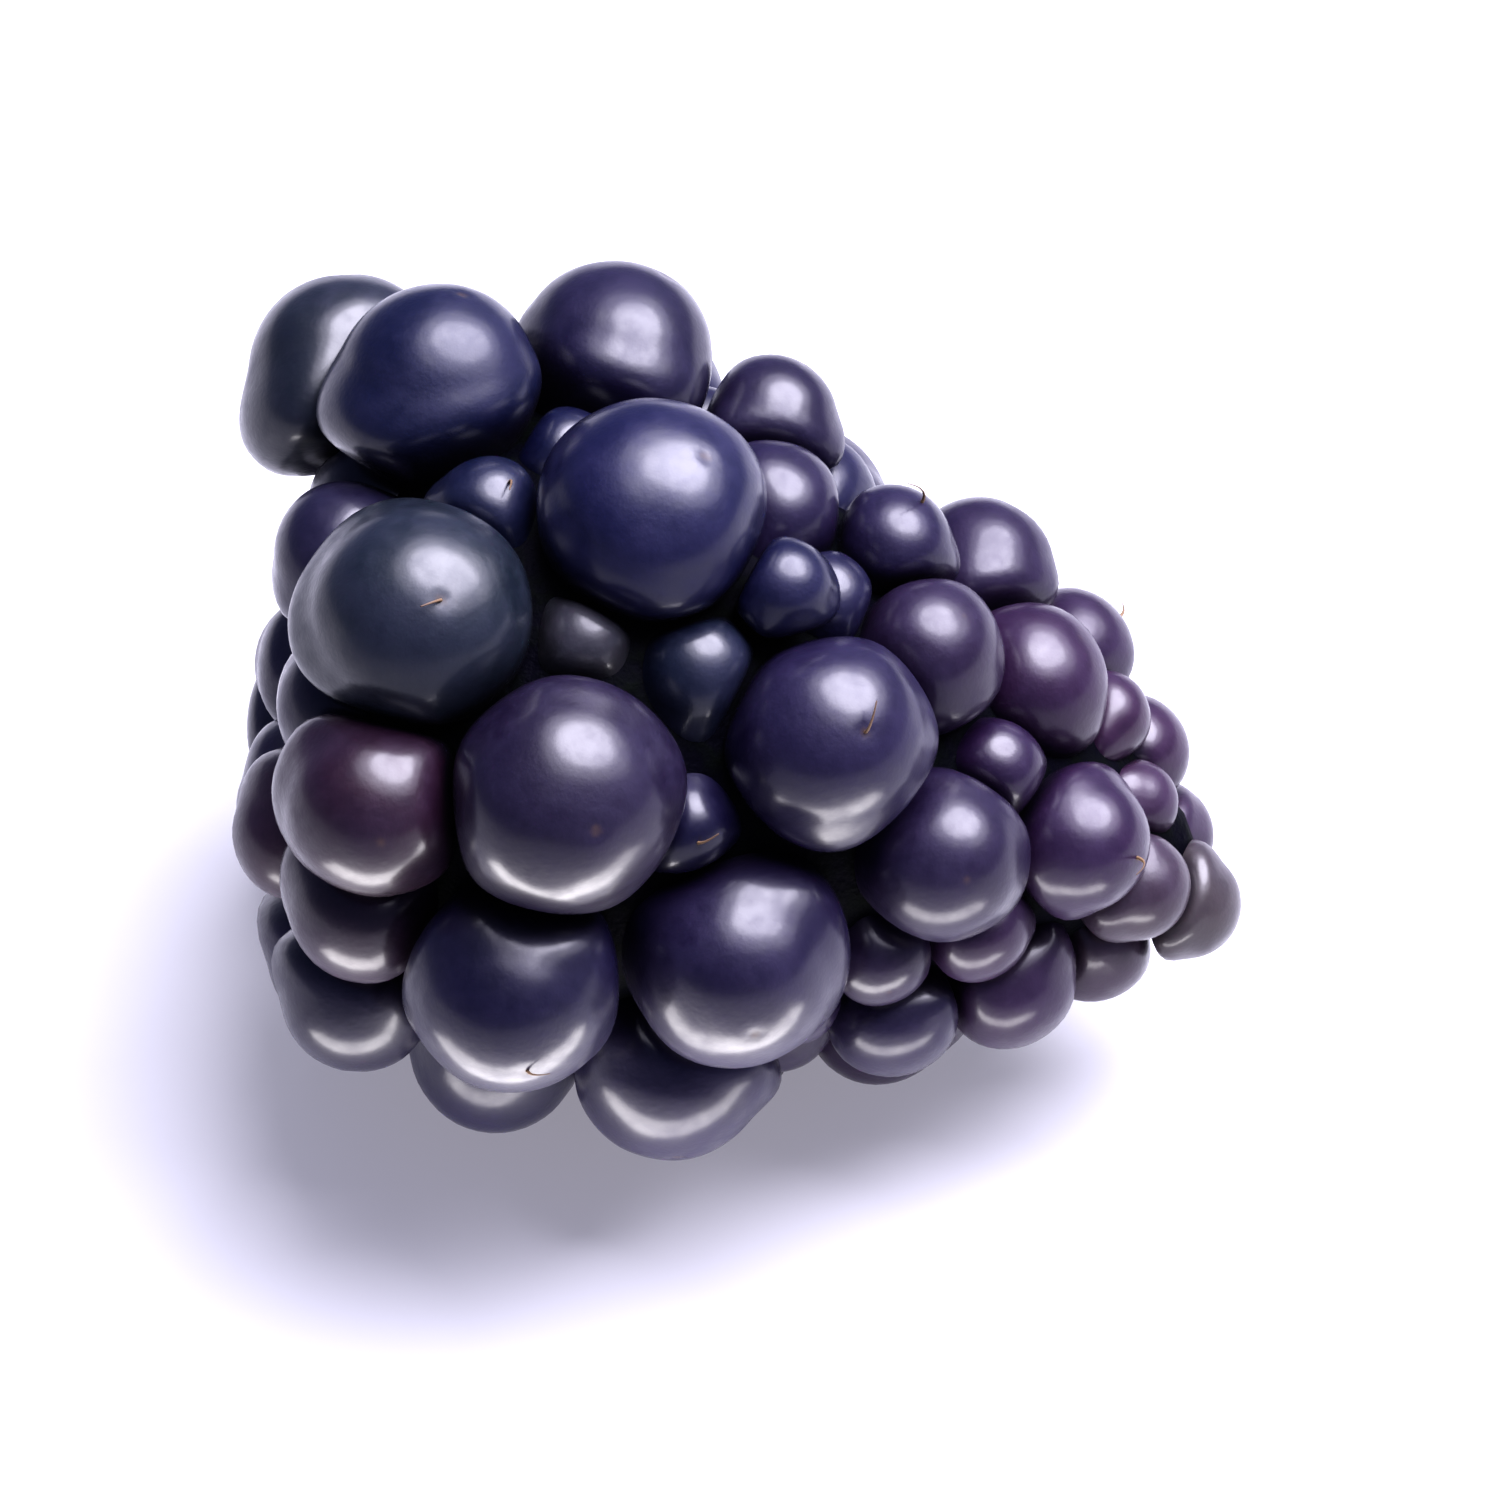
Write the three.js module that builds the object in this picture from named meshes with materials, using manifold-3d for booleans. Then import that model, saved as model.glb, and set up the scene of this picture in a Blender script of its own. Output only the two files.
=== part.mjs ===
// A bramble berry as picked, lying on its side on a flat surface.
//
// The fruit is a short, blunt cone of plump drupelets, set in whorls and grown together round a fleshy core.
// Its broken end shows the pale end of the receptacle, which sits in the collar of the first two whorls.
//
// Millimetres, +Z up. +X runs from the stem end to the tip, the tip dipping towards the surface.
// The origin is on the surface, under the middle of the berry.

import * as THREE from "three";
import { mergeVertices } from "three/addons/utils/BufferGeometryUtils.js";
import Module from "manifold-3d";

// The whorls, from the stem end to the tip: `along` the berry's own axis, `out` from that axis to the
// drupelets' middles, how many places there are, their radius, and the turn of the first one, in degrees
// from the top towards -Y. `bare` is a place where none grew.
const WHORLS = [
  { along: 3.4, out: 4.1, count: 7, radius: 1.6, turn: 10 },
  { along: 4.5, out: 6.9, count: 8, radius: 2.3, turn: 31 },
  { along: 8.6, out: 7.6, count: 9, radius: 2.4, turn: 14 },
  { along: 12.9, out: 6.7, count: 9, radius: 2.25, turn: 42, bare: 8 },
  { along: 16.6, out: 5.1, count: 7, radius: 1.7, turn: 9 },
  { along: 19.7, out: 3.4, count: 5, radius: 1.55, turn: 41 },
  { along: 22.4, out: 1.3, count: 3, radius: 1.3, turn: 120 },
];

// The odd drupelets that grew off their place in a whorl: how much further along, out or round they sit, and
// how much larger they are. Whorls and places count from 0.
const ODD_ONES = [
  { whorl: 1, place: 0, turn: 7 },
  { whorl: 1, place: 1, turn: -7, along: -0.4, radius: -0.4 },
  { whorl: 1, place: 2, along: 1.1, radius: -0.4 },
  { whorl: 1, place: 3, along: 1.4, radius: -0.35 },
  { whorl: 1, place: 6, turn: 13, along: -2.6, out: -0.6, radius: -0.3 },
  { whorl: 2, place: 3, out: -0.3, radius: -0.5 },
  { whorl: 2, place: 8, turn: -5, along: -0.5, radius: -0.2 },
  { whorl: 3, place: 7, turn: -5, along: -0.5, out: -0.9, radius: -0.3 },
  { whorl: 4, place: 0, turn: -3, along: -0.9, radius: -0.1 },
  { whorl: 4, place: 6, turn: -6 },
  { whorl: 5, place: 1, turn: 6 },
  { whorl: 5, place: 4, turn: -26, out: 0.3 },
  { whorl: 6, place: 2, along: -0.9, radius: -0.35 },
];

// Small drupelets that set late, round the bare place.
const LATE_DRUPELETS = [
  { along: 11.3, out: 7.4, radius: 1.5, turn: -34 },
  { along: 11.9, out: 7.4, radius: 1.1, turn: 14 },
  { along: 14.3, out: 6.2, radius: 1.35, turn: -12 },
];

// Later ones still fill the room that is left, at `out` times the whorls' distance from the axis: each goes
// where the room is largest and presses into its neighbours, until no place has the least room. The places
// tried are `alongStep` apart along the axis and `turnStep` degrees round it.
const FILL = { out: 0.88, leastRoom: 0.55, press: 0.5, mostRadius: 1.8, alongStep: 0.5, turnStep: 6 };

// How far a drupelet strays from its whorl's even spacing, either way.
const TURN_STRAY = 7; // degrees
const ALONG_STRAY = 0.6;
const OUT_STRAY = 0.35;
const RADIUS_STRAY = 0.1; // as a share of the radius

// The core's surface lies this share of a drupelet's radius inside its middle, and it ends this share of the
// last whorl's radius past that whorl.
const CORE_INSET = 0.25;
const CORE_END = 0.5;
const CORE_SIDES = 24;

// Splits of each edge of an icosahedron, for a large drupelet and for one under the small radius.
const LARGE_DETAIL = 2;
const SMALL_DETAIL = 1;
const SMALL_RADIUS = 2.25;
const SLIVER = 0.06; // detail smaller than this is dropped after the joining

// The receptacle's broken end: a short plug that tapers to its root, with a domed face and a rounded rim.
const RECEPTACLE = { radius: 2.6, root: 1.8, depth: 3.4, face: 3.1, dome: 0.35, rim: 0.3 };
const DOME_SHOULDER = { out: 0.6, rise: 0.7 }; // where the face's curve bends, as shares of radius and dome
const RECEPTACLE_SIDES = 24;
const SOCKET_GAP = 0.3;
const SOCKET_REACH = 8; // how far the socket's cut runs out past the stem end

// How the berry lies: turned on its own axis, dipped at the tip, and flattened a little where it rests.
const ROLL = 1.1; // degrees
const DIP = 13.5; // degrees
const FLAT_DEPTH = 0.2;
const SURFACE_SIZE = 60;

const SKIN = { color: 0x1a1328, roughness: 0.2, metalness: 0 };
const PITH = { color: 0xd9d3a8, roughness: 0.75, metalness: 0 };

const wasm = await Module();
wasm.setup();

const radians = THREE.MathUtils.degToRad;

// Even draws from -1 to 1, the same in every run.
const DRAW_FACTOR = 16807;
const DRAW_MODULUS = 2147483647;
let seed = 60736;
function stray() {
  seed = (seed * DRAW_FACTOR) % DRAW_MODULUS;
  return (2 * seed) / DRAW_MODULUS - 1;
}

// A drupelet in the berry's own frame, whose axis is +X.
function drupelet({ along, out, turn, radius }) {
  const middle = new THREE.Vector3(along, -out * Math.sin(radians(turn)), out * Math.cos(radians(turn)));
  return { middle, radius };
}

function whorls() {
  return WHORLS.flatMap(({ along, out, count, radius, turn, bare }, whorl) =>
    Array.from({ length: count }, (_, place) => {
      const odd = ODD_ONES.find((one) => one.whorl === whorl && one.place === place);
      const by = { turn: 0, along: 0, out: 0, radius: 0, ...odd };
      return {
        turn: turn + (360 * place) / count + TURN_STRAY * stray() + by.turn,
        along: along + ALONG_STRAY * stray() + by.along,
        out: out + OUT_STRAY * stray() + by.out,
        radius: radius * (1 + RADIUS_STRAY * stray()) + by.radius,
      };
    }).filter((_, place) => place !== bare),
  );
}

// How far out the whorls' middles lie at a place along the axis.
function whorlOut(along) {
  const next = Math.max(1, WHORLS.findIndex((whorl) => whorl.along >= along));
  const [a, b] = [WHORLS[next - 1], WHORLS[next]];
  return THREE.MathUtils.mapLinear(along, a.along, b.along, a.out, b.out);
}

// The places where a late drupelet could set.
function fillPlaces() {
  const { out, alongStep, turnStep } = FILL;
  const places = [];
  for (let along = WHORLS[1].along; along <= WHORLS[WHORLS.length - 1].along; along += alongStep)
    for (let turn = 0; turn < 360; turn += turnStep)
      places.push(drupelet({ along, out: out * whorlOut(along), turn, radius: 0 }).middle);
  return places;
}

// Fills the room that is left between the drupelets.
function filled(all) {
  const rooms = fillPlaces().map((middle) => ({
    middle,
    room: Math.min(...all.map((other) => other.middle.distanceTo(middle) - other.radius)),
  }));
  const late = [];
  for (;;) {
    const widest = rooms.reduce((a, b) => (b.room > a.room ? b : a));
    if (widest.room < FILL.leastRoom) return [...all, ...late];
    const one = { middle: widest.middle, radius: Math.min(widest.room + FILL.press, FILL.mostRadius) };
    late.push(one);
    for (const each of rooms)
      each.room = Math.min(each.room, one.middle.distanceTo(each.middle) - one.radius);
  }
}

function solid(geometry) {
  geometry.deleteAttribute("normal");
  geometry.deleteAttribute("uv");
  const merged = mergeVertices(geometry);
  return new wasm.Manifold(
    new wasm.Mesh({
      numProp: 3,
      vertProperties: merged.attributes.position.array,
      triVerts: new Uint32Array(merged.index.array),
    }),
  );
}

function geometryOf(manifold) {
  const mesh = manifold.getMesh();
  const geometry = new THREE.BufferGeometry();
  geometry.setAttribute("position", new THREE.BufferAttribute(mesh.vertProperties, 3));
  geometry.setIndex(new THREE.BufferAttribute(mesh.triVerts, 1));
  geometry.computeVertexNormals();
  return geometry;
}

// A form turned about the berry's axis, from [along, radius] pairs that start and end on it.
function turned(profile, sides) {
  const points = profile.map(([along, radius]) => new THREE.Vector2(radius, along));
  return new THREE.LatheGeometry(points, sides).rotateZ(-Math.PI / 2).rotateX(Math.PI);
}

function core() {
  const first = WHORLS[0];
  const last = WHORLS[WHORLS.length - 1];
  return turned(
    [
      [RECEPTACLE.face, 0],
      [RECEPTACLE.face, first.out - first.radius],
      ...WHORLS.map(({ along, out, radius }) => [along, out - CORE_INSET * radius]),
      [last.along + CORE_END * last.radius, 0],
    ],
    CORE_SIDES,
  );
}

function receptacle() {
  const { radius, root, depth, face, dome, rim } = RECEPTACLE;
  return turned(
    [
      [face - dome, 0],
      [face - DOME_SHOULDER.rise * dome, DOME_SHOULDER.out * radius],
      [face, radius - rim],
      [face + rim, radius],
      [face + depth, root],
      [face + depth, 0],
    ],
    RECEPTACLE_SIDES,
  );
}

function socket() {
  const { radius, root, depth, face, rim } = RECEPTACLE;
  return turned(
    [
      [face - SOCKET_REACH, 0],
      [face - SOCKET_REACH, radius + SOCKET_GAP],
      [face + rim, radius + SOCKET_GAP],
      [face + depth + SOCKET_GAP, root + SOCKET_GAP],
      [face + depth + SOCKET_GAP, 0],
    ],
    RECEPTACLE_SIDES,
  );
}

function ball({ middle, radius }) {
  const detail = radius < SMALL_RADIUS ? SMALL_DETAIL : LARGE_DETAIL;
  return solid(new THREE.IcosahedronGeometry(radius, detail).translate(middle.x, middle.y, middle.z));
}

// The outer skin's own solid, which fills any hollow that the joining or cutting sealed inside it.
function withoutHollows(joined) {
  return joined.decompose().reduce((a, b) => (b.volume() > a.volume() ? b : a));
}

// The turn and shift that lay the drupelets down on the surface, centred over the origin.
function lying(all) {
  const lie = new THREE.Matrix4()
    .makeRotationY(radians(DIP))
    .multiply(new THREE.Matrix4().makeRotationX(radians(ROLL)));
  const box = new THREE.Box3();
  for (const { middle, radius } of all) {
    const reach = new THREE.Vector3(1, 1, 1).multiplyScalar(2 * radius);
    box.union(new THREE.Box3().setFromCenterAndSize(middle.clone().applyMatrix4(lie), reach));
  }
  const centre = box.getCenter(new THREE.Vector3());
  return new THREE.Matrix4().makeTranslation(-centre.x, -centre.y, -box.min.z - FLAT_DEPTH).multiply(lie);
}

const grown = filled([...whorls(), ...LATE_DRUPELETS].map(drupelet));
const place = lying(grown);

let head = solid(core());
for (const one of grown) head = head.add(ball(one));
head = head.subtract(solid(socket())).transform(place.elements);

const below = new THREE.BoxGeometry(SURFACE_SIZE, SURFACE_SIZE, SURFACE_SIZE);
below.translate(0, 0, -SURFACE_SIZE / 2);
head = withoutHollows(head.subtract(solid(below)).simplify(SLIVER));

const berry = new THREE.Group();
berry.name = "bramble berry";

const skin = new THREE.Mesh(geometryOf(head), new THREE.MeshStandardMaterial(SKIN));
skin.name = "drupelets";
berry.add(skin);

const end = new THREE.Mesh(receptacle(), new THREE.MeshStandardMaterial(PITH));
end.name = "receptacle";
end.applyMatrix4(place);
berry.add(end);

export default berry;
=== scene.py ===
"""A ripe bramble berry lying on its side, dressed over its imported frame.

Sizes are in millimetres in the berry's own frame, whose axis is +X from the stem end to the tip, until
`laid` puts them in the frame's metres.
"""
import math

import bmesh
import bpy
from mathutils import Matrix, Vector, noise


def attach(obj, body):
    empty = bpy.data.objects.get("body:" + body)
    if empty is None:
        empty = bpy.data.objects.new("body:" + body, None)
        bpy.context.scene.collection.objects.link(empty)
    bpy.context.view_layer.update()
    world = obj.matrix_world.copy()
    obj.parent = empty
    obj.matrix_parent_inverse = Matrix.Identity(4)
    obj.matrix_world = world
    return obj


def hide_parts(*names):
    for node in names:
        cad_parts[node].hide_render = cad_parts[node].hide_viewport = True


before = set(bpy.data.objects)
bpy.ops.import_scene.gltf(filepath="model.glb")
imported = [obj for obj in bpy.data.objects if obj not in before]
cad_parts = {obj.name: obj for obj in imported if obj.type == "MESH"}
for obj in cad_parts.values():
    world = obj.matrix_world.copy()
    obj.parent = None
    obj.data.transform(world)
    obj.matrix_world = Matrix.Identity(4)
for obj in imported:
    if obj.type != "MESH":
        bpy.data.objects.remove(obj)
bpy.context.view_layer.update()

MM = 0.001

# ---------------------------------------------------------------- how the berry grew, as in the frame

# Each whorl: along the axis, out from it, how many places, radius, turn of the first place in degrees.
WHORLS = [
    dict(along=3.4, out=4.1, count=7, radius=1.6, turn=10),
    dict(along=4.5, out=6.9, count=8, radius=2.3, turn=31),
    dict(along=8.6, out=7.6, count=9, radius=2.4, turn=14),
    dict(along=12.9, out=6.7, count=9, radius=2.25, turn=42, bare=8),
    dict(along=16.6, out=5.1, count=7, radius=1.7, turn=9),
    dict(along=19.7, out=3.4, count=5, radius=1.55, turn=41),
    dict(along=22.4, out=1.3, count=3, radius=1.3, turn=120),
]
# The odd ones that grew off their place in a whorl, and by how much. Whorls and places count from 0.
ODD_ONES = [
    dict(whorl=1, place=0, turn=7),
    dict(whorl=1, place=1, turn=-7, along=-0.4, radius=-0.4),
    dict(whorl=1, place=2, along=1.1, radius=-0.4),
    dict(whorl=1, place=3, along=1.4, radius=-0.35),
    dict(whorl=1, place=6, turn=13, along=-2.6, out=-0.6, radius=-0.3),
    dict(whorl=2, place=3, out=-0.3, radius=-0.5),
    dict(whorl=2, place=8, turn=-5, along=-0.5, radius=-0.2),
    dict(whorl=3, place=7, turn=-5, along=-0.5, out=-0.9, radius=-0.3),
    dict(whorl=4, place=0, turn=-3, along=-0.9, radius=-0.1),
    dict(whorl=4, place=6, turn=-6),
    dict(whorl=5, place=1, turn=6),
    dict(whorl=5, place=4, turn=-26, out=0.3),
    dict(whorl=6, place=2, along=-0.9, radius=-0.35),
]
LATE_DRUPELETS = [
    dict(along=11.3, out=7.4, radius=1.5, turn=-34),
    dict(along=11.9, out=7.4, radius=1.1, turn=14),
    dict(along=14.3, out=6.2, radius=1.35, turn=-12),
]
FILL = dict(out=0.88, least_room=0.55, press=0.5, most_radius=1.8, along_step=0.5, turn_step=6)
TURN_STRAY = 7
ALONG_STRAY = 0.6
OUT_STRAY = 0.35
RADIUS_STRAY = 0.1
CORE_INSET = 0.25
CORE_END = 0.5
RECEPTACLE = dict(radius=2.6, root=1.8, depth=3.4, face=3.1, dome=0.35, rim=0.3)
SOCKET_GAP = 0.3
ROLL = 1.1
DIP = 13.5
FLAT_DEPTH = 0.2

DRAW_FACTOR = 16807
DRAW_MODULUS = 2147483647
GROWTH_SEED = 60736


class Draws:
    """Even draws from -1 to 1, the same in every run."""

    def __init__(self, seed):
        self.state = seed

    def next(self):
        self.state = self.state * DRAW_FACTOR % DRAW_MODULUS
        return 2 * self.state / DRAW_MODULUS - 1

    def between(self, low, high):
        return low + (high - low) * (self.next() + 1) / 2


# Drupelets between these places along the axis face straight out from it, and the rest face the ends.
FACING_SPAN = (6.0, 17.0)


class Drupelet:
    """One drupelet: its middle, its radius and the way it faces."""

    def __init__(self, middle, radius):
        self.middle = middle
        self.radius = radius
        along = min(max(middle.x, FACING_SPAN[0]), FACING_SPAN[1])
        self.facing = (middle - Vector((along, 0, 0))).normalized()


def around(along, out, turn):
    """A place `out` from the axis, turned by `turn` degrees from the top towards -Y."""
    angle = math.radians(turn)
    return Vector((along, -out * math.sin(angle), out * math.cos(angle)))


def odd_at(whorl, place):
    """How far the drupelet at that place grew off it."""
    by = dict(turn=0, along=0, out=0, radius=0)
    for one in ODD_ONES:
        if (one["whorl"], one["place"]) == (whorl, place):
            by.update(one)
    return by


def whorled():
    """The drupelets of the whorls, and the late ones by the bare place."""
    stray = Draws(GROWTH_SEED).next
    grown = []
    for k, whorl in enumerate(WHORLS):
        for i in range(whorl["count"]):
            by = odd_at(k, i)
            turn = whorl["turn"] + 360 * i / whorl["count"] + TURN_STRAY * stray() + by["turn"]
            along = whorl["along"] + ALONG_STRAY * stray() + by["along"]
            out = whorl["out"] + OUT_STRAY * stray() + by["out"]
            radius = whorl["radius"] * (1 + RADIUS_STRAY * stray()) + by["radius"]
            if i != whorl.get("bare"):
                grown.append(Drupelet(around(along, out, turn), radius))
    for late in LATE_DRUPELETS:
        grown.append(Drupelet(around(late["along"], late["out"], late["turn"]), late["radius"]))
    return grown


def whorl_out(along):
    """How far out the whorls' middles lie at a place along the axis."""
    after = next(k for k in range(1, len(WHORLS)) if WHORLS[k]["along"] >= along or k == len(WHORLS) - 1)
    a, b = WHORLS[after - 1], WHORLS[after]
    share = (along - a["along"]) / (b["along"] - a["along"])
    return a["out"] + share * (b["out"] - a["out"])


def fill_places():
    """The places where a drupelet could still set."""
    places = []
    along = WHORLS[1]["along"]
    while along <= WHORLS[-1]["along"]:
        for turn in range(0, 360, FILL["turn_step"]):
            places.append(around(along, FILL["out"] * whorl_out(along), turn))
        along += FILL["along_step"]
    return places


def filled(grown):
    """The drupelets with the late ones that fill the room between them."""
    places = fill_places()
    rooms = [min((one.middle - place).length - one.radius for one in grown) for place in places]
    late = []
    while max(rooms) >= FILL["least_room"]:
        widest = rooms.index(max(rooms))
        radius = min(rooms[widest] + FILL["press"], FILL["most_radius"])
        late.append(Drupelet(places[widest], radius))
        rooms = [min(room, (place - places[widest]).length - radius) for room, place in zip(rooms, places)]
    return grown + late


def lie_of(grown):
    """The turn and shift that lay the berry on the surface, in millimetres."""
    lie = Matrix.Rotation(math.radians(DIP), 4, "Y") @ Matrix.Rotation(math.radians(ROLL), 4, "X")
    low = [min((lie @ one.middle)[k] - one.radius for one in grown) for k in range(3)]
    high = [max((lie @ one.middle)[k] + one.radius for one in grown) for k in range(3)]
    shift = Vector((-(low[0] + high[0]) / 2, -(low[1] + high[1]) / 2, -low[2] - FLAT_DEPTH))
    return Matrix.Translation(shift) @ lie


grown = filled(whorled())
lie = lie_of(grown)
lie_back = lie.inverted()
laid = Matrix.Scale(MM, 4) @ lie


def finish_piece(name, mesh, material):
    """Makes the object of a bmesh that is in the berry's own frame, laid down and riding on the body."""
    mesh.transform(laid)
    data = bpy.data.meshes.new(name)
    mesh.to_mesh(data)
    mesh.free()
    for polygon in data.polygons:
        polygon.use_smooth = True
    data.materials.append(material)
    piece = bpy.data.objects.new(name, data)
    bpy.context.scene.collection.objects.link(piece)
    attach(piece, "root")
    return piece


# ---------------------------------------------------------------- materials


class Value:
    """A number that varies over a surface: the output of a shader node."""

    def __init__(self, finish, socket):
        self.finish = finish
        self.socket = socket

    def math(self, operation, *values, clamp=False):
        settings = {"operation": operation, "use_clamp": clamp}
        return self.finish.node("ShaderNodeMath", settings, dict(enumerate(values)))[0]

    def __add__(self, other):
        return self.math("ADD", self, other)

    __radd__ = __add__

    def __sub__(self, other):
        return self.math("SUBTRACT", self, other)

    def __rsub__(self, other):
        return self.math("SUBTRACT", other, self)

    def __mul__(self, other):
        return self.math("MULTIPLY", self, other)

    __rmul__ = __mul__

    def clamped(self):
        return self.math("ADD", self, 0.0, clamp=True)

    def between(self, low, high):
        """0 below `low`, 1 above `high` and smooth between them."""
        return self.finish.node(
            "ShaderNodeMapRange",
            {"interpolation_type": "SMOOTHSTEP"},
            {"Value": self, "From Min": low, "From Max": high},
        )["Result"]


class Outputs:
    """The outputs of a node, by name or number."""

    def __init__(self, finish, made):
        self.finish = finish
        self.made = made

    def __getitem__(self, which):
        return Value(self.finish, self.made.outputs[which])


class Finish:
    """A material while its nodes are being laid out."""

    def __init__(self, name):
        self.material = bpy.data.materials.new(name)
        self.material.use_nodes = True
        self.tree = self.material.node_tree
        self.tree.nodes.clear()

    def node(self, kind, settings=None, inputs=None):
        made = self.tree.nodes.new(kind)
        for name, value in (settings or {}).items():
            setattr(made, name, value)
        for name, value in (inputs or {}).items():
            if isinstance(value, Value):
                self.tree.links.new(value.socket, made.inputs[name])
            else:
                made.inputs[name].default_value = value
        return Outputs(self, made)

    def where(self):
        return self.node("ShaderNodeTexCoord")["Object"]

    def attribute(self, name):
        return self.node("ShaderNodeAttribute", {"attribute_name": name})["Fac"]

    def noise(self, per_mm, detail=2.0, roughness=0.5):
        return self.noise_at(self.where(), per_mm / MM, detail, roughness)

    def noise_at(self, where, scale, detail, roughness):
        inputs = {"Vector": where, "Scale": scale, "Detail": detail, "Roughness": roughness}
        return self.node("ShaderNodeTexNoise", None, inputs)["Fac"]

    def mixed(self, factor, first, second):
        """A colour from `first` to `second`; plain colours are (red, green, blue)."""
        inputs = {0: factor}
        for socket, colour in ((6, first), (7, second)):
            inputs[socket] = colour if isinstance(colour, Value) else (*colour, 1.0)
        return self.node("ShaderNodeMix", {"data_type": "RGBA"}, inputs)[2]

    def bump(self, height, distance, strength):
        inputs = {"Height": height, "Distance": distance * MM, "Strength": strength}
        return self.node("ShaderNodeBump", None, inputs)["Normal"]

    def surface(self, **inputs):
        shader = self.node("ShaderNodeBsdfPrincipled", None, inputs)["BSDF"]
        self.node("ShaderNodeOutputMaterial", None, {"Surface": shader})
        return self.material


# Skin: black in blue or violet, then the tints, laid over it in this order
BLUE_BLACK = (0.0010, 0.0014, 0.0150)
VIOLET_BLACK = (0.0050, 0.0012, 0.0150)
TINTS = dict(
    blue=(0.0014, 0.0034, 0.0340),
    slate=(0.0040, 0.0090, 0.0120),
    red=(0.018, 0.0022, 0.0050),
    mauve=(0.026, 0.0060, 0.024),
    pale=(0.050, 0.047, 0.034),
)
BLOOM = (0.060, 0.056, 0.13)
# Painted shade: the skin is darkened towards this colour in the creases where neighbours press, standing in
# for the shade that falls there
CREASE_PAINTED_SHADE = (0.0035, 0.0020, 0.0070)
SCAR_TAN = (0.07, 0.040, 0.022)
# Core: painted shade, nearly black so the gaps between the drupelets read dark
DARK_FLESH_PAINTED_SHADE = (0.0012, 0.0010, 0.0034)
GREEN_FLESH_PAINTED_SHADE = (0.0018, 0.0028, 0.0019)
# Receptacle
PITH_SHADE = (0.40, 0.36, 0.17)
PITH_CREAM = (0.66, 0.61, 0.38)
PITH_GREEN = (0.27, 0.31, 0.10)
PITH_BROWN = (0.22, 0.13, 0.05)
RED_JUICE = (0.10, 0.010, 0.032)
# Styles
STYLE_TAN = (0.20, 0.12, 0.055)
STYLE_BROWN = (0.055, 0.026, 0.012)
# Surface
CARD_SHADE = (0.35, 0.35, 0.37)
CARD_PALE = (0.39, 0.39, 0.40)
CARD_GLOW = (0.91, 0.87, 1.0, 1.0)


def ripe_skin():
    """Glossy blue-black skin, tinted in patches, with a rubbed bloom on its caps and painted shade that
    darkens its creases.
    """
    finish = Finish("ripe_skin")
    crease = finish.attribute("crease")
    scar = finish.attribute("scar")
    cloud = finish.noise(per_mm=0.45, detail=3.0)
    mottle = finish.noise(per_mm=2.2, detail=3.0, roughness=0.6)
    grain = finish.noise(per_mm=9.0, detail=2.0)
    streak = 0.65 + mottle * 0.7
    violet = (finish.attribute("violet") + cloud * 0.6 - 0.3).clamped()
    colour = finish.mixed(violet, BLUE_BLACK, VIOLET_BLACK)
    for tint, tinted in TINTS.items():
        colour = finish.mixed((finish.attribute(tint) * streak).clamped(), colour, tinted)
    bloom = (cloud * 0.7 + mottle * 0.45).between(0.42, 0.76) * (1.0 - crease.between(0.1, 0.7))
    colour = finish.mixed(bloom * 0.09, colour, BLOOM)
    # painted shade: darker towards the creases where a wall holds the skin back
    colour = finish.mixed(crease.between(0.2, 1.0) * 0.9, colour, CREASE_PAINTED_SHADE)
    colour = finish.mixed(scar.between(0.3, 0.95) * 0.4, colour, SCAR_TAN)
    bumps = finish.bump(mottle * 0.6 + grain * 0.25, distance=0.06, strength=0.45)
    return finish.surface(
        **{
            "Base Color": colour,
            "Roughness": 0.46 + bloom * 0.14 + scar * 0.2,
            "Normal": bumps,
            "Coat Weight": 0.9 - bloom * 0.4,
            "Coat Roughness": 0.22,
            "Coat IOR": 1.40,
            "IOR": 1.40,
            "Specular IOR Level": 0.22,
            "Subsurface Weight": 0.05,
            "Subsurface Radius": (0.9 * MM, 0.25 * MM, 0.5 * MM),
            "Subsurface Scale": 1.0,
        }
    )


def core_flesh_painted_shade():
    """The fleshy core deep between the drupelets: painted shade, nearly black so the gaps read dark, with a
    little green where it is firm.
    """
    finish = Finish("core_flesh_painted_shade")
    streak = finish.noise(per_mm=1.6, detail=4.0, roughness=0.6)
    # painted shade: both colours are kept near black so the core stands in for the shade between the
    # drupelets
    colour = finish.mixed(streak.between(0.35, 0.75), DARK_FLESH_PAINTED_SHADE, GREEN_FLESH_PAINTED_SHADE)
    return finish.surface(
        **{
            "Base Color": colour,
            "Roughness": 0.5 + streak * 0.2,
            "Normal": finish.bump(streak, distance=0.15, strength=0.8),
            "Specular IOR Level": 0.02,
        }
    )


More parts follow.
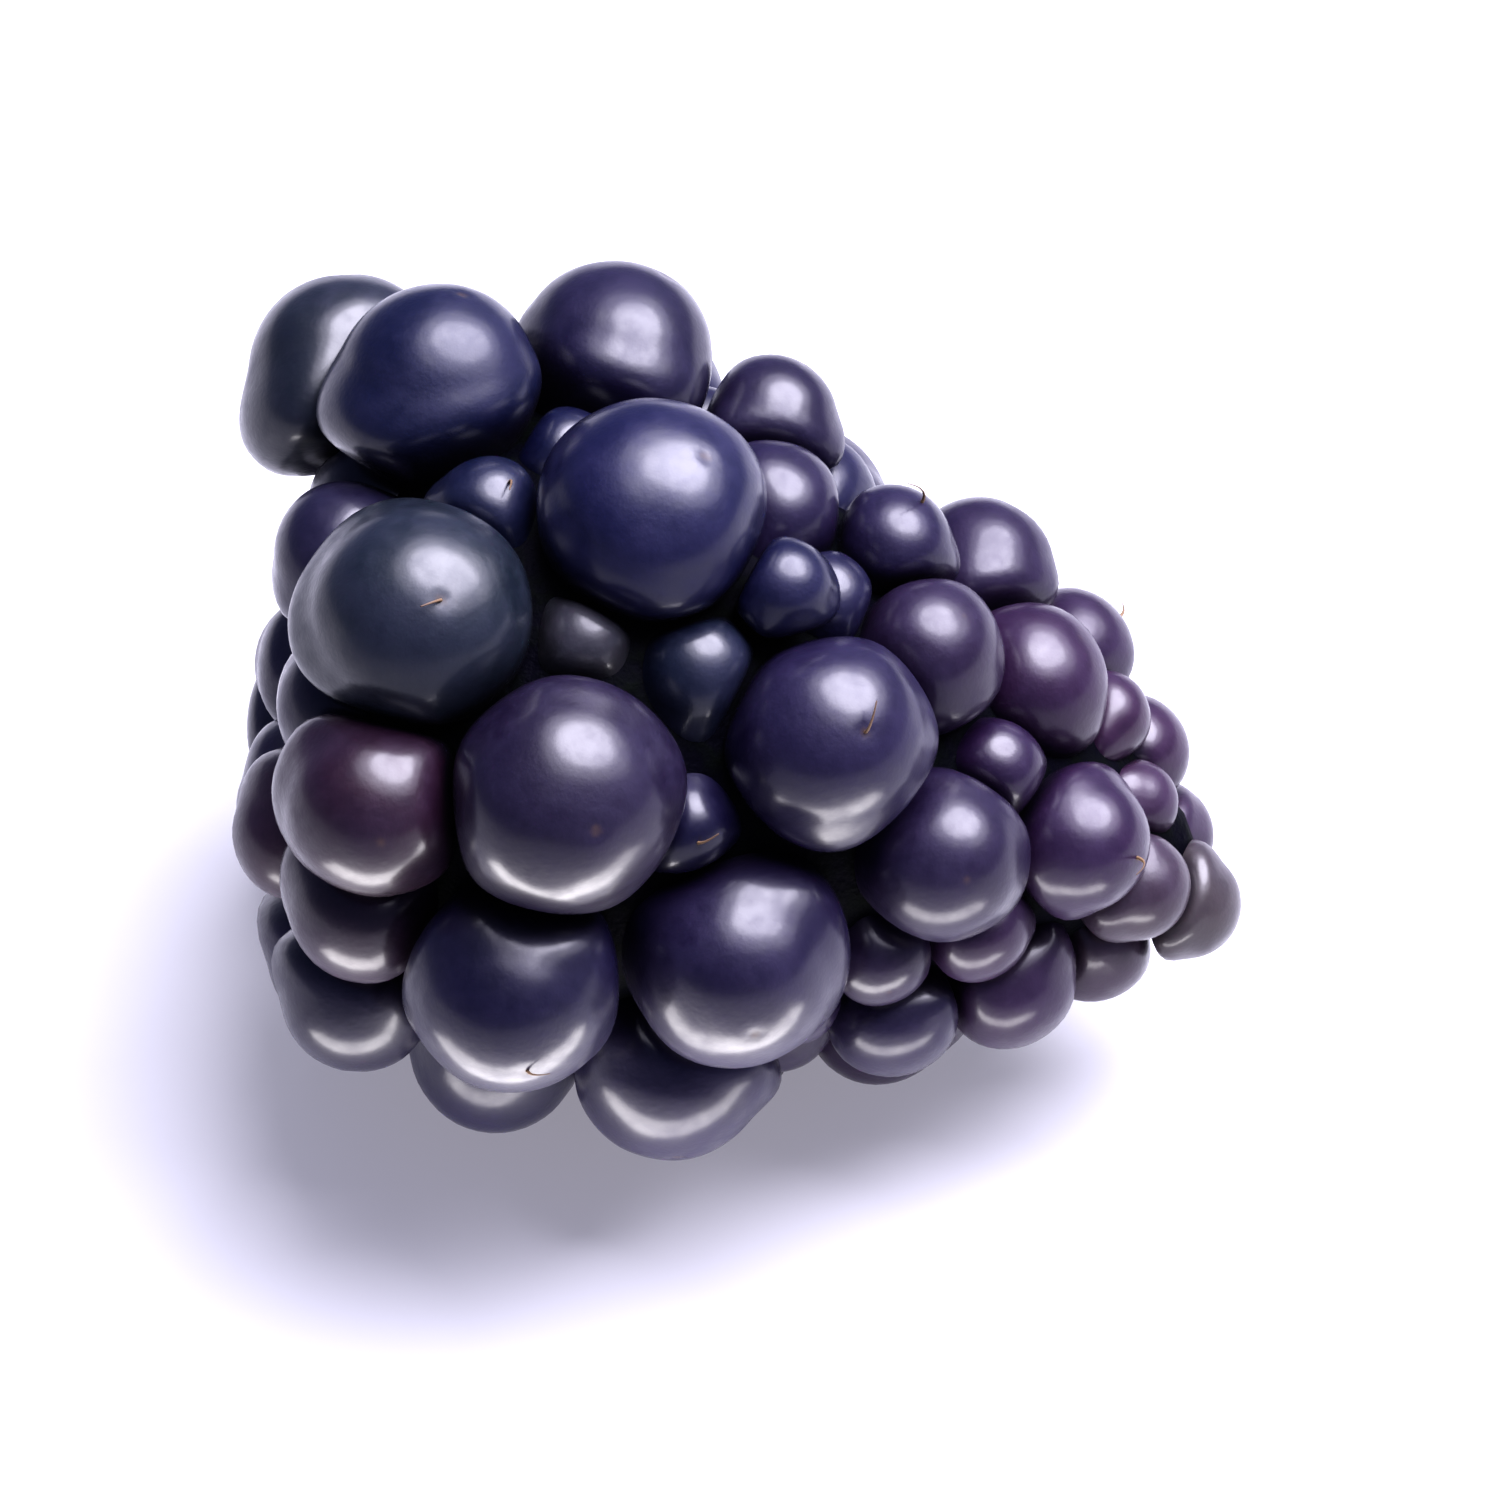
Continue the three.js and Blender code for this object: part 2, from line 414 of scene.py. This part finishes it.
def pale_pith():
    """The receptacle's broken end: cream pith, torn along its fibres, with a greener middle and juicy rim."""
    finish = Finish("pale_pith")
    ring = finish.attribute("ring")
    across = {
        "X": finish.attribute("across") * FIBRE_COUNT,
        "Y": finish.attribute("upward") * FIBRE_COUNT,
        "Z": ring * 1.6,
    }
    where = finish.node("ShaderNodeCombineXYZ", None, across)["Vector"]
    fibre = finish.noise_at(where, scale=1.0, detail=3.0, roughness=0.6)
    fleck = finish.noise(per_mm=2.6, detail=4.0, roughness=0.65)
    stain = finish.noise(per_mm=0.9, detail=3.0)
    colour = finish.mixed((fibre * 0.9 + fleck * 0.5 - 0.2).clamped(), PITH_SHADE, PITH_CREAM)
    colour = finish.mixed((1.0 - ring.between(0.10, 0.75)) * 0.55, colour, PITH_GREEN)
    colour = finish.mixed(fleck.between(0.52, 0.70) * 0.45, colour, PITH_BROWN)
    juice = (ring.between(0.55, 1.0) * (stain.between(0.35, 0.65) * 0.9 + 0.15)).clamped()
    colour = finish.mixed(juice * 0.9, colour, RED_JUICE)
    return finish.surface(
        **{
            "Base Color": colour,
            "Roughness": 0.6 - juice * 0.25,
            "Normal": finish.bump(fleck * 0.6 + fibre, distance=0.16, strength=0.6),
            "Subsurface Weight": 0.2,
            "Subsurface Radius": (1.0 * MM, 0.8 * MM, 0.4 * MM),
            "Subsurface Scale": 1.0,
            "IOR": 1.4,
        }
    )


def dried_style():
    """The withered thread of a flower's style: tan, browner at its tip."""
    finish = Finish("dried_style")
    length = finish.attribute("length")
    fleck = finish.noise(per_mm=6.0, detail=2.0)
    colour = finish.mixed((length * 0.8 + fleck * 0.3).clamped(), STYLE_TAN, STYLE_BROWN)
    return finish.surface(**{"Base Color": colour, "Roughness": 0.7})


def pale_surface():
    """The surface: pale, a little cloudy and glowing faintly, as thin white card over a light does."""
    finish = Finish("pale_surface")
    colour = finish.mixed(finish.noise(per_mm=0.009), CARD_SHADE, CARD_PALE)
    return finish.surface(
        **{
            "Base Color": colour,
            "Roughness": 0.55,
            "Emission Color": CARD_GLOW,
            "Emission Strength": 0.29,
        }
    )


# ---------------------------------------------------------------- drupelets

LARGE_SPLITS = 5
SMALL_SPLITS = 4
SMALL_RADIUS = 2.2
PRESS_SHARPNESS = 8.0  # how sharply a drupelet turns from its free cap to a pressed wall
PRESS_GAP = 0.02  # between the walls of two that press together
SURFACE_GIVE = 2 ** (1 / PRESS_SHARPNESS)  # a cap that just reaches a wall is held short of it by this factor
LUMP = 0.035  # share of the radius by which a drupelet is out of round
LUMP_SIZE = 0.35  # per millimetre
DIMPLE = 0.012  # share of the radius by which its skin waves
DIMPLE_SIZE = 0.9  # per millimetre
ROOT = 0.26  # share of the radius by which a drupelet's root grows on until it meets its neighbours
ROOT_SPAN = (0.45, -0.35)  # where that starts and ends, as the cosine of the angle from the way that it faces
NEIGHBOUR_REACH = 1.25  # two press where their middles are closer than this times their radii together
STYLE_LEAN = 0.28  # how far a drupelet's scar leans from the way it faces towards the tip
SCAR_SIZE = 0.07  # share of the radius
SCAR_DEPTH = 0.02
NEAREST_WALL = 0.3  # share of the radius
CREASE_GAIN = 4.0  # how fast the painted crease shade comes on where a wall holds the skin back
TINT_SEED = 4711


def eased(share):
    """A share from 0 to 1, made to start and end gently."""
    return share * share * (3 - 2 * share)


class Wall:
    """A plane that a drupelet presses on: its direction from the middle, and how far off it is."""

    def __init__(self, direction, distance):
        self.direction = direction
        self.distance = distance


def walls_of(one):
    """The planes where its neighbours and the surface press on a drupelet."""
    walls = []
    for other in grown:
        apart = (other.middle - one.middle).length
        if other is one or apart > NEIGHBOUR_REACH * (one.radius + other.radius):
            continue
        share = (apart**2 + one.radius**2 - other.radius**2) / (2 * apart)
        direction = (other.middle - one.middle) / apart
        walls.append(Wall(direction, max(share, NEAREST_WALL * one.radius) - PRESS_GAP))
    down = lie_back.to_3x3() @ Vector((0, 0, -1))
    height = (lie @ one.middle).z
    if height < NEIGHBOUR_REACH * one.radius:
        walls.append(Wall(down, height * SURFACE_GIVE))
    return walls


def scar_way(one):
    """The way from a drupelet's middle to its style's scar."""
    return (one.facing + Vector((STYLE_LEAN, 0, 0))).normalized()


def reach(one, walls, way):
    """How far the skin lies from the middle along `way`, and how much a wall holds it back there."""
    place = one.middle + way * one.radius
    lump = LUMP * noise.noise(place * LUMP_SIZE) + DIMPLE * noise.noise(place * DIMPLE_SIZE)
    down = (ROOT_SPAN[0] - way.dot(one.facing)) / (ROOT_SPAN[0] - ROOT_SPAN[1])
    root = eased(min(max(down, 0), 1))
    free = one.radius * (1 + ROOT * root + lump)
    push = 1.0
    for wall in walls:
        slope = way.dot(wall.direction)
        if slope > 0:
            push += (slope * free / wall.distance) ** PRESS_SHARPNESS
    held = free * push ** (-1 / PRESS_SHARPNESS)
    return held, 1 - held / free


def scar_at(one, way):
    """1 in the middle of the style's scar, falling to 0 outside it."""
    off = (way - scar_way(one)).length / SCAR_SIZE
    return math.exp(-off * off)


# Patches of drupelets that ripened differently: where their middle is, how far they reach in millimetres,
# and how strong they are. Each tint also strays from drupelet to drupelet by its share in TINT_STRAY.
PATCHES = [
    dict(tint="slate", along=4.5, out=6.5, turn=30, size=2.6, strength=0.9),
    dict(tint="slate", along=1.5, out=6.0, turn=310, size=3.0, strength=0.8),
    dict(tint="slate", along=9.3, out=6.3, turn=30, size=1.8, strength=0.8),
    dict(tint="blue", along=8.8, out=7.7, turn=5, size=3.0, strength=0.55),
    dict(tint="red", along=4.5, out=7.0, turn=80, size=2.6, strength=0.9),
    dict(tint="red", along=3.0, out=4.0, turn=125, size=2.4, strength=0.7),
    dict(tint="red", along=13, out=6.5, turn=200, size=4.0, strength=0.5),
    dict(tint="violet", along=9.0, out=7.6, turn=65, size=3.6, strength=0.6),
    dict(tint="violet", along=15.5, out=5.3, turn=20, size=3.0, strength=0.6),
    dict(tint="mauve", along=19.5, out=0, turn=0, size=5.0, strength=0.75),
    dict(tint="pale", along=8.0, out=6.6, turn=29, size=0.8, strength=0.3),
    dict(tint="pale", along=22.2, out=1.0, turn=120, size=1.6, strength=0.6),
]
TINT_STRAY = dict(violet=0.55, blue=0.22, slate=0.25, red=0.16, mauve=0.15, pale=0.0)


def tints_of(one, draws):
    """How strong each tint is on a drupelet: its stray and the patches that reach it."""
    tints = {}
    for tint, stray in TINT_STRAY.items():
        tints[tint] = max(stray * draws.next(), 0)
        for patch in PATCHES:
            if patch["tint"] == tint:
                centre = around(patch["along"], patch["out"], patch["turn"])
                away = (one.middle - centre).length / patch["size"]
                tints[tint] += patch["strength"] * math.exp(-away * away)
    return tints


def drupelet_skins():
    """Every drupelet's skin, each a fine ball pressed by its neighbours, all in one piece."""
    mesh = bmesh.new()
    layers = {name: mesh.verts.layers.float.new(name) for name in (*TINT_STRAY, "crease", "scar")}
    draws = Draws(TINT_SEED)
    for one in grown:
        splits = SMALL_SPLITS if one.radius < SMALL_RADIUS else LARGE_SPLITS
        made = bmesh.ops.create_icosphere(mesh, subdivisions=splits, radius=1.0)["verts"]
        walls = walls_of(one)
        tints = tints_of(one, draws)
        for vertex in made:
            way = vertex.co.normalized()
            far, held = reach(one, walls, way)
            scar = scar_at(one, way)
            vertex.co = one.middle + way * (far - SCAR_DEPTH * one.radius * scar)
            for tint, strength in tints.items():
                vertex[layers[tint]] = strength
            vertex[layers["crease"]] = min(held * CREASE_GAIN, 1.0)
            vertex[layers["scar"]] = scar
    return finish_piece("drupelet_skins", mesh, ripe_skin())


# ---------------------------------------------------------------- core and receptacle

TURN_STEPS = 72
MERGED_WITHIN = 1e-4
SOCKET_LIP = 0.1


def put_in_order(mesh):
    """Number the corners, edges and faces by place, as spin and weld leave them in no fixed order."""
    for place, vert in enumerate(sorted(mesh.verts, key=lambda vert: tuple(vert.co))):
        vert.index = place
    mesh.verts.sort()
    for pieces in (mesh.edges, mesh.faces):
        by_corners = sorted(pieces, key=lambda piece: sorted(vert.index for vert in piece.verts))
        for place, piece in enumerate(by_corners):
            piece.index = place
        pieces.sort()


def turned(profile, steps):
    """A closed form turned about the berry's axis, from (along, radius) pairs that end on it."""
    mesh = bmesh.new()
    line = [mesh.verts.new((along, 0, radius)) for along, radius in profile]
    edges = [mesh.edges.new(pair) for pair in zip(line, line[1:])]
    bmesh.ops.spin(
        mesh,
        geom=line + edges,
        cent=(0, 0, 0),
        axis=(1, 0, 0),
        angle=math.tau,
        steps=steps,
        use_merge=True,
    )
    bmesh.ops.remove_doubles(mesh, verts=mesh.verts, dist=MERGED_WITHIN)
    bmesh.ops.recalc_face_normals(mesh, faces=mesh.faces)
    put_in_order(mesh)
    return mesh


def core_body():
    """The core under the drupelets, with the receptacle's socket in its broken end."""
    last = WHORLS[-1]
    plug = RECEPTACLE
    outside = [(whorl["along"], whorl["out"] - CORE_INSET * whorl["radius"]) for whorl in WHORLS]
    profile = [
        (plug["face"] + plug["depth"] + SOCKET_GAP, 0),
        (plug["face"] + plug["depth"] + SOCKET_GAP, plug["root"] + SOCKET_GAP),
        (plug["face"] + plug["rim"], plug["radius"] + SOCKET_GAP),
        (plug["face"] + plug["rim"] + SOCKET_LIP, plug["radius"] + SOCKET_GAP + SOCKET_LIP),
        *outside,
        (last["along"] + CORE_END * last["radius"], 0),
    ]
    return finish_piece("core_body", turned(profile, TURN_STEPS), core_flesh_painted_shade())


FACE_RINGS = 18
MIDDLE_OUT = 0.15  # within this of the axis the fibres fade out
FIBRE_COUNT = 5.0  # how closely the fibres run round the middle
FIBRE_WANDER = 0.3  # how much they change from the middle to the rim
FIBRE_RISE = 0.16
TORN_SIZE = 0.9  # per millimetre
TORN_RIM = 0.35
MIDDLE_PIT = dict(depth=0.3, radius=0.7)
RIM_BEND = dict(back=0.3, out=0.7)  # shares of the rim's width


def receptacle_end():
    """The broken end: a torn, fibrous face round a small pit, on a plug that tapers to its root."""
    plug = RECEPTACLE
    side = plug["radius"] - plug["rim"]
    profile = []
    for ring in range(FACE_RINGS + 1):
        share = ring / FACE_RINGS
        profile.append((plug["face"] - plug["dome"] * (1 - share**2), share * side))
    profile += [
        (plug["face"] + RIM_BEND["back"] * plug["rim"], side + RIM_BEND["out"] * plug["rim"]),
        (plug["face"] + plug["rim"], plug["radius"]),
        (plug["face"] + 0.5 * plug["depth"], (plug["radius"] + plug["root"]) / 2),
        (plug["face"] + plug["depth"], plug["root"]),
        (plug["face"] + plug["depth"], 0),
    ]
    mesh = turned(profile, 2 * TURN_STEPS)
    layers = {name: mesh.verts.layers.float.new(name) for name in ("ring", "across", "upward")}
    for vertex in mesh.verts:
        out = math.hypot(vertex.co.y, vertex.co.z)
        across = vertex.co.y / max(out, MIDDLE_OUT)
        upward = vertex.co.z / max(out, MIDDLE_OUT)
        share = out / plug["radius"]
        vertex[layers["ring"]] = share
        vertex[layers["across"]] = across
        vertex[layers["upward"]] = upward
        if vertex.co.x < plug["face"] + plug["rim"] / 2:
            fibre = noise.noise(Vector((across, upward, FIBRE_WANDER * share)) * FIBRE_COUNT)
            torn = noise.noise(Vector((vertex.co.y, vertex.co.z, plug["face"])) * TORN_SIZE)
            pit = MIDDLE_PIT["depth"] * math.exp(-((out / MIDDLE_PIT["radius"]) ** 2))
            vertex.co.x += pit - FIBRE_RISE * fibre * min(share * 2, 1) - TORN_RIM * torn * share
    return finish_piece("receptacle_end", mesh, pale_pith())


# ---------------------------------------------------------------- dried styles

STYLE_SHARE = 0.25  # of the drupelets that still hold one
STYLE_LENGTH = (0.5, 0.95)
STYLE_RADIUS = (0.045, 0.018)  # at its root and at its tip
STYLE_STEPS = 6
STYLE_SIDES = 5
STYLE_CURL = 0.9
STYLE_DROOP = 0.35
STYLE_ROOT = 0.03  # how deep it starts under the scar, as a share of the drupelet's radius
STYLE_SEED = 90210
LOWEST_STYLE = 5.0  # a drupelet whose middle is lower than this holds none


def style_path(one, draws):
    """The middle line of a style, from just under the scar, curling aside."""
    way = scar_way(one)
    aside = way.cross(Vector((draws.next(), draws.next(), draws.next()))).normalized()
    length = draws.between(*STYLE_LENGTH)
    start = one.middle + way * one.radius * (1 - SCAR_DEPTH - STYLE_ROOT)
    points = []
    for step in range(STYLE_STEPS + 1):
        share = step / STYLE_STEPS
        bend = STYLE_CURL * share * share * length
        points.append(start + way * length * (share - STYLE_DROOP * share**2) + aside * bend)
    return points


def dried_styles():
    """The withered styles that some drupelets still hold, each a tapering thread."""
    mesh = bmesh.new()
    along_layer = mesh.verts.layers.float.new("length")
    draws = Draws(STYLE_SEED)
    for one in grown:
        keep = draws.between(0, 1) < STYLE_SHARE
        path = style_path(one, draws)
        if not keep or (lie @ one.middle).z < LOWEST_STYLE:
            continue
        heading = (path[1] - path[0]).to_track_quat("Z", "Y").to_matrix().to_4x4()
        ring = bmesh.ops.create_circle(
            mesh,
            cap_ends=True,
            radius=STYLE_RADIUS[0],
            segments=STYLE_SIDES,
            matrix=Matrix.Translation(path[0]) @ heading,
        )["verts"]
        for step in range(1, STYLE_STEPS + 1):
            face = next(f for f in ring[0].link_faces if set(f.verts) == set(ring))
            grown_face = bmesh.ops.extrude_discrete_faces(mesh, faces=[face])["faces"][0]
            ring = list(grown_face.verts)
            share = step / STYLE_STEPS
            radius = STYLE_RADIUS[0] + share * (STYLE_RADIUS[1] - STYLE_RADIUS[0])
            middle = sum((v.co for v in ring), Vector()) / len(ring)
            for vertex in ring:
                vertex.co = path[step] + (vertex.co - middle).normalized() * radius
                vertex[along_layer] = share
    bmesh.ops.recalc_face_normals(mesh, faces=mesh.faces)
    return finish_piece("dried_styles", mesh, dried_style())


# ---------------------------------------------------------------- stage, light and camera

SURFACE_HALF = 0.9


def surface():
    """The pale surface that the berry lies on, wide enough to fill every view."""
    mesh = bmesh.new()
    bmesh.ops.create_grid(mesh, x_segments=1, y_segments=1, size=SURFACE_HALF)
    data = bpy.data.meshes.new("surface")
    mesh.to_mesh(data)
    mesh.free()
    data.materials.append(pale_surface())
    floor = bpy.data.objects.new("surface", data)
    bpy.context.scene.collection.objects.link(floor)


def towards(azimuth, elevation):
    """The way from the object to a place at that azimuth and elevation, in degrees."""
    a, e = math.radians(azimuth), math.radians(elevation)
    return Vector((math.sin(a) * math.cos(e), -math.cos(a) * math.cos(e), math.sin(e)))


def soft_light(name, shape, place, way, look):
    """A light at `place` that shines against `way` and isn't seen itself."""
    data = bpy.data.lights.new(name, "AREA")
    data.shape = shape
    data.size, data.size_y = look["size"]
    data.energy = look["power"]
    data.color = look["colour"]
    light = bpy.data.objects.new(name, data)
    light.location = place
    light.rotation_euler = way.to_track_quat("Z", "Y").to_euler()
    light.visible_camera = False
    bpy.context.scene.collection.objects.link(light)
    return light


# Sizes and distances in metres, power in watts.
LIGHT_FROM = dict(azimuth=112, elevation=68)
WINDOW = dict(distance=0.36, size=(0.32, 0.36), power=5.6, colour=(0.88, 0.85, 1.0))
HAZE = dict(distance=0.40, size=(0.60, 0.68), power=4.9, colour=(0.88, 0.85, 1.0))
CARD = dict(place=(0, -0.0137, 0.0003), size=(0.034, 0.0055), power=0.0075, colour=(1.0, 0.96, 0.98))
SKY = dict(colour=(0.42, 0.50, 1.0), strength=0.30)


def lights():
    """A large window high behind, haze round it that only gloss shows, a low pale card and a dim blue sky."""
    up = towards(**LIGHT_FROM)
    soft_light("window", "ELLIPSE", up * WINDOW["distance"], up, WINDOW)
    haze = soft_light("haze", "ELLIPSE", up * HAZE["distance"], up, HAZE)
    haze.visible_diffuse = False
    soft_light("card", "RECTANGLE", Vector(CARD["place"]), Vector((0, 0, -1)), CARD)
    world = bpy.data.worlds.new("studio")
    world.use_nodes = True
    sky = world.node_tree.nodes["Background"]
    sky.inputs["Color"].default_value = (*SKY["colour"], 1.0)
    sky.inputs["Strength"].default_value = SKY["strength"]
    bpy.context.scene.world = world


CAMERA_AZIMUTH = 5
CAMERA_ELEVATION = 45
CAMERA_DISTANCE = 0.2
SENSOR_WIDTH = 36  # millimetres
VIEW_WIDTH = 0.033
AIM = Vector((0.0003, 0, 0.0088))


def camera():
    """A long lens, in front of the berry and above it, whose frame is VIEW_WIDTH across at the berry."""
    data = bpy.data.cameras.new("camera")
    data.sensor_width = SENSOR_WIDTH
    data.lens = SENSOR_WIDTH * CAMERA_DISTANCE / VIEW_WIDTH
    data.clip_start = CAMERA_DISTANCE / 20
    eye = bpy.data.objects.new("camera", data)
    way = towards(CAMERA_AZIMUTH, CAMERA_ELEVATION)
    eye.location = AIM + way * CAMERA_DISTANCE
    eye.rotation_euler = way.to_track_quat("Z", "Y").to_euler()
    bpy.context.scene.collection.objects.link(eye)
    bpy.context.scene.camera = eye


camera()
lights()
surface()
bpy.context.scene.view_settings.view_transform = "Standard"
bpy.context.scene.view_settings.look = "Medium High Contrast"

skins = drupelet_skins()
core = core_body()
styles = dried_styles()
for piece in (skins, core, styles):
    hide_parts("drupelets")
end = receptacle_end()
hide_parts("receptacle")
